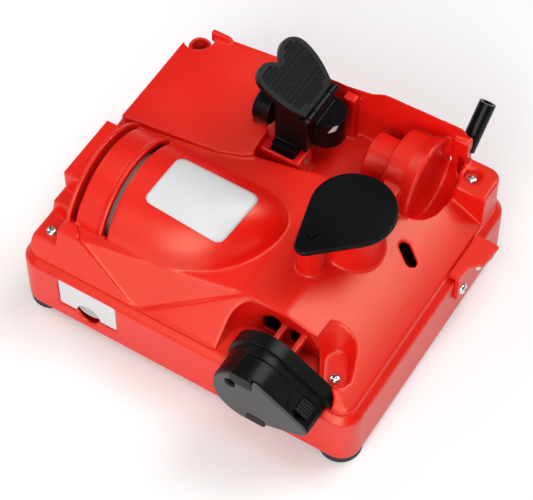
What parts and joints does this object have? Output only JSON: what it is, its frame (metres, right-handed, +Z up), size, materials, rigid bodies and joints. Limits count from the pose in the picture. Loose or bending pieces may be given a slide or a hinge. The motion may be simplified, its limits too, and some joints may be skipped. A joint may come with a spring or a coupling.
{
  "type": "bench blade and drill sharpener",
  "caption": "Electric bench sharpener in a red moulded housing with knife slots, a swivelling drill guide, a tool holder with clamp, a swing cover over a well and a grit drawer.",
  "frame": {"origin": "on the bench surface under the middle of the base tray", "axes": "+X to the right along the front edge, +Y from the front to the back, +Z up"},
  "size_m": [0.266, 0.2452, 0.1378],
  "materials": {
    "red_plastic": "fine matte moulding texture",
    "black_plastic": "satin moulded",
    "grey_plastic": "satin moulded",
    "white_plastic": "satin moulded",
    "foot_rubber": "matte",
    "belt_rubber": "matte",
    "screw_chrome": "bright plated",
    "steel": "turned",
    "lamination": "stacked sheet",
    "copper_wire": "varnished winding",
    "bracket_metal": "die cast",
    "abrasive_grey": "coarse bonded grit",
    "abrasive_pink": "fine bonded grit",
    "carbon": "pressed carbon"
  },
  "bodies": {
    "housing": {"upper_housing": "red_plastic", "base_tray": "red_plastic", "rubber_feet": "foot_rubber", "housing_screws": "screw_chrome", "bracket_screws": "screw_chrome", "motor_stator": "lamination", "field_coils": "copper_wire", "motor_strap": "steel", "motor_left_bracket": "bracket_metal", "motor_right_bracket": "bracket_metal", "shaft_end_bracket": "bracket_metal", "rear_bearing_block": "bracket_metal", "motor_bearings": "steel", "rear_bearings": "steel", "carbon_brushes": "carbon", "brush_holders": "black_plastic", "drive_belt": "belt_rubber", "cover_pivot_screw": "black_plastic", "holder_pin": "steel", "guide_mount": "black_plastic", "drawer_runners": "red_plastic", "side_rest": "red_plastic", "side_rest_screws": "screw_chrome", "cord_sleeve": "black_plastic", "cord_clamp": "black_plastic", "switch_body": "black_plastic"},
    "spindle": {"motor_shaft": "steel", "rotor_core": "lamination", "rotor_windings": "copper_wire", "commutator": "copper_wire", "cooling_fan": "black_plastic", "knife_wheel": "abrasive_pink", "knife_wheel_flanges": "steel", "knife_wheel_nut": "steel", "drill_wheel": "abrasive_grey", "drill_wheel_nut": "steel", "drive_pulley": "black_plastic"},
    "rear_spindle": {"rear_shaft": "steel", "driven_pulley": "black_plastic", "blade_wheel": "abrasive_grey", "blade_wheel_screw": "screw_chrome"},
    "cover": {"swing_cover": "black_plastic"},
    "holder": {"holder_body": "black_plastic", "clamp_hinge_pin": "steel"},
    "clamp": {"clamp_plate": "black_plastic"},
    "knob": {"clamp_knob": "black_plastic"},
    "guide": {"guide_body": "black_plastic", "guide_face": "grey_plastic", "guide_screw": "steel"},
    "thumb": {"thumb_slide": "black_plastic"},
    "drawer": {"drawer": "white_plastic"},
    "rocker": {"switch_rocker": "black_plastic"}
  },
  "joints": [
    {"name": "motor_spin", "type": "hinge", "parent": "housing", "child": "spindle", "pos_m": [0, -0.034, 0.057], "axis": [1, 0, 0], "continuous": true},
    {"name": "rear_spin", "type": "hinge", "parent": "housing", "child": "rear_spindle", "pos_m": [0.066, 0.068, 0.078], "axis": [1, 0, 0], "continuous": true},
    {"name": "cover_swing", "type": "hinge", "parent": "housing", "child": "cover", "pos_m": [0.051, -0.0285, 0.1091], "axis": [0, 0, -1], "range_deg": [0, 100]},
    {"name": "holder_rock", "type": "hinge", "parent": "housing", "child": "holder", "pos_m": [-0.011, 0.044, 0.072], "axis": [1, 0, 0], "range_deg": [-2, 12]},
    {"name": "clamp_tilt", "type": "hinge", "parent": "holder", "child": "clamp", "pos_m": [0.0032, 0.063, 0.1113], "axis": [0, 1, 0], "range_deg": [0, 14]},
    {"name": "knob_turn", "type": "hinge", "parent": "holder", "child": "knob", "pos_m": [-0.0285, 0.05, 0.104], "axis": [1, 0, 0], "range_deg": [0, 360]},
    {"name": "guide_swivel", "type": "hinge", "parent": "housing", "child": "guide", "pos_m": [0.059, -0.111, 0.055], "axis": [0, -1, 0], "range_deg": [-15, 40]},
    {"name": "thumb_slide", "type": "slide", "parent": "guide", "child": "thumb", "axis": [0, -1, 0], "range_m": [0, 0.004]},
    {"name": "drawer_slide", "type": "slide", "parent": "housing", "child": "drawer", "axis": [0, -1, 0], "range_m": [0, 0.025]},
    {"name": "switch_rock", "type": "hinge", "parent": "housing", "child": "rocker", "pos_m": [-0.122, -0.015, 0.027], "axis": [0, 0, 1], "range_deg": [-8, 8]}
  ],
  "couplings": [
    {"joint": "rear_spin", "follows": "motor_spin", "ratio": 0.66667}
  ]
}
